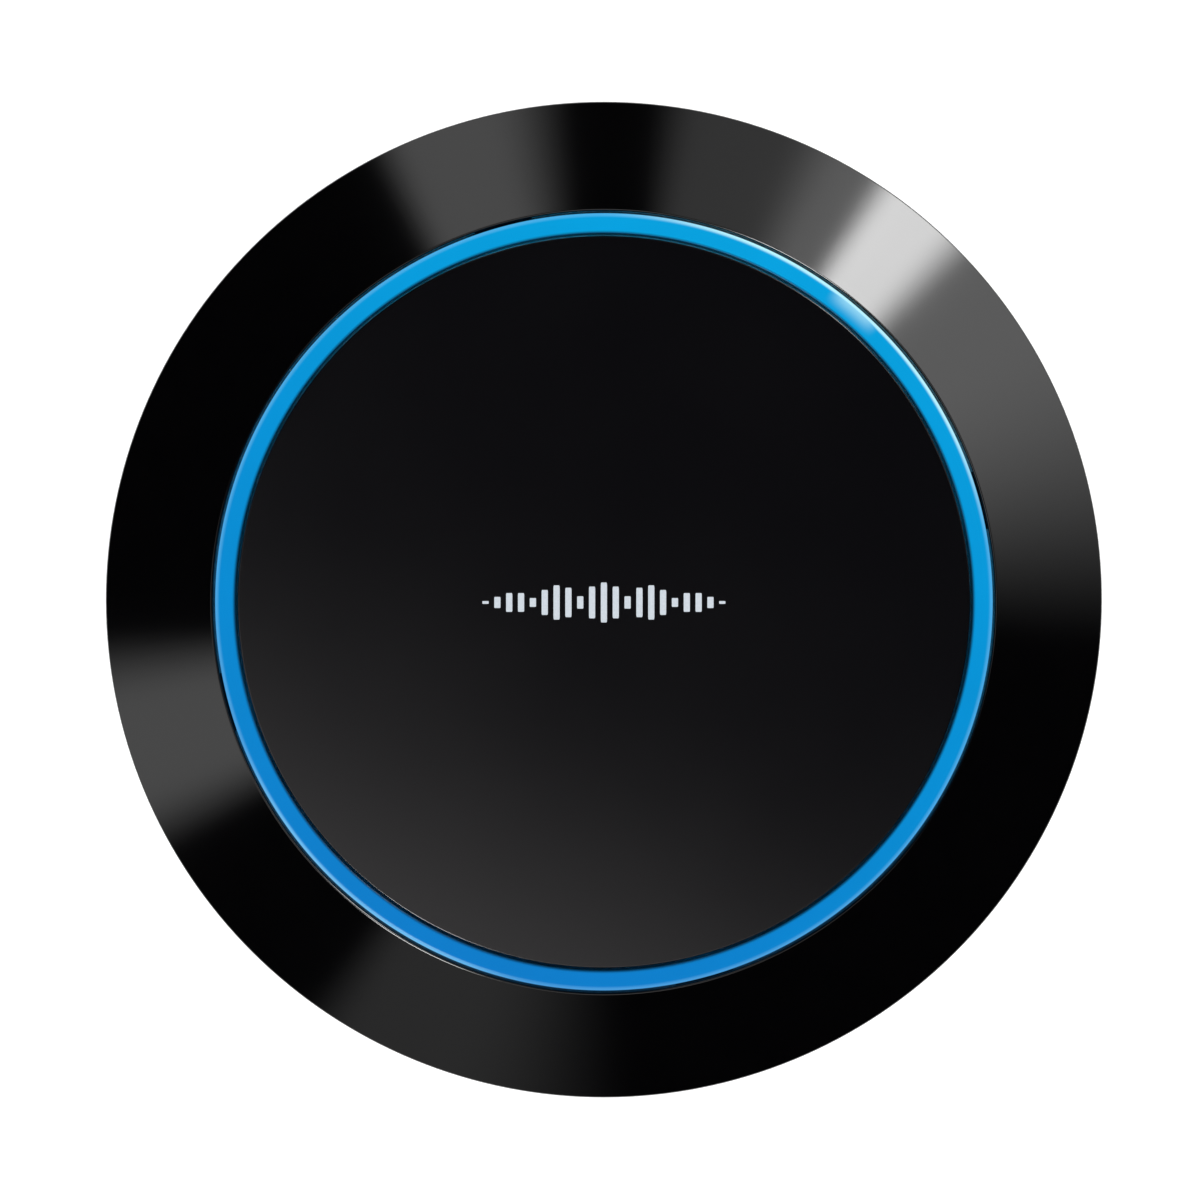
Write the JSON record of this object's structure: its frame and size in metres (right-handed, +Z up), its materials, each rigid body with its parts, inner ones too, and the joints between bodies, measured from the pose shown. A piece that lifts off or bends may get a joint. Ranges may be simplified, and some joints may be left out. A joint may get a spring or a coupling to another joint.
{
  "type": "bluetooth audio receiver",
  "caption": "Round puck-shaped wireless audio receiver with a sloped gloss rim, a blue light ring, a flat black top plate, and a rear bay for audio, power and pairing.",
  "frame": {"origin": "middle of the underside of the feet, on the surface that the receiver stands on", "axes": "+Z up through the middle of the top plate; +Y out of the rear bay that holds the sockets and the button"},
  "size_m": [0.068, 0.068, 0.0195],
  "materials": {
    "gloss_black": "high gloss, black",
    "plate_black": "fine satin gloss, black",
    "matt_black": "fine spark texture, black",
    "blue_diffuser": "translucent polycarbonate, lit blue from below",
    "white_plastic": "moulded, white",
    "rubber": "soft, matt",
    "label_grey": "blank polyester label, matt",
    "tape": "double-sided acrylic tape",
    "foam": "closed-cell foam, black",
    "board_green": "glass-epoxy board with green solder mask",
    "board_white": "glass-epoxy board with white solder mask",
    "module_blue": "glass-epoxy board with blue solder mask",
    "chip_black": "moulded epoxy",
    "led_white": "clear silicone over a white body",
    "tinned_steel": "tin plated",
    "nickel": "nickel plated",
    "gold": "gold flash",
    "aluminium": "drawn can, plain",
    "ferrite": "moulded ferrite",
    "ceramic_tan": "barium titanate body",
    "ceramic_white": "low-loss ceramic",
    "zinc_black": "black zinc plating",
    "amber_film": "polyimide film",
    "ivory": "moulded nylon"
  },
  "bodies": {
    "receiver": {"top_bezel": "gloss_black", "light_ring": "blue_diffuser", "top_plate": "plate_black", "plate_tape": "tape", "bottom_shell": "matt_black", "rubber_feet": "rubber", "rating_label": "label_grey", "inner_frame": "white_plastic", "light_board": "board_white", "light_gasket": "foam", "ring_leds": "led_white", "flat_lead": "amber_film", "flex_socket": "ivory", "flex_latch": "chip_black", "main_board": "board_green", "radio_board": "module_blue", "radio_shield": "tinned_steel", "radio_chip": "chip_black", "chip_antenna": "ceramic_white", "crystal": "tinned_steel", "audio_converter": "chip_black", "line_driver": "chip_black", "line_driver_legs": "tinned_steel", "memory_chip": "chip_black", "memory_chip_legs": "tinned_steel", "regulator": "chip_black", "regulator_legs": "tinned_steel", "power_coil": "ferrite", "capacitor_cans": "aluminium", "capacitor_bases": "chip_black", "ceramic_capacitors": "ceramic_tan", "resistors": "chip_black", "jack_body": "chip_black", "jack_springs": "nickel", "jack_bush": "nickel", "power_shell": "tinned_steel", "power_tongue": "chip_black", "power_contacts": "gold", "switch_body": "chip_black", "switch_dome": "tinned_steel", "case_screws": "zinc_black", "frame_screws": "tinned_steel"},
    "pairing_button": {"button_cap": "matt_black", "switch_plunger": "ivory"}
  },
  "joints": [
    {"name": "pairing_button_press", "type": "slide", "parent": "receiver", "child": "pairing_button", "axis": [0, -1, 0], "range_m": [0, 0.0003], "stiffness_N_per_m": 3000, "springref_m": -0.0001}
  ]
}
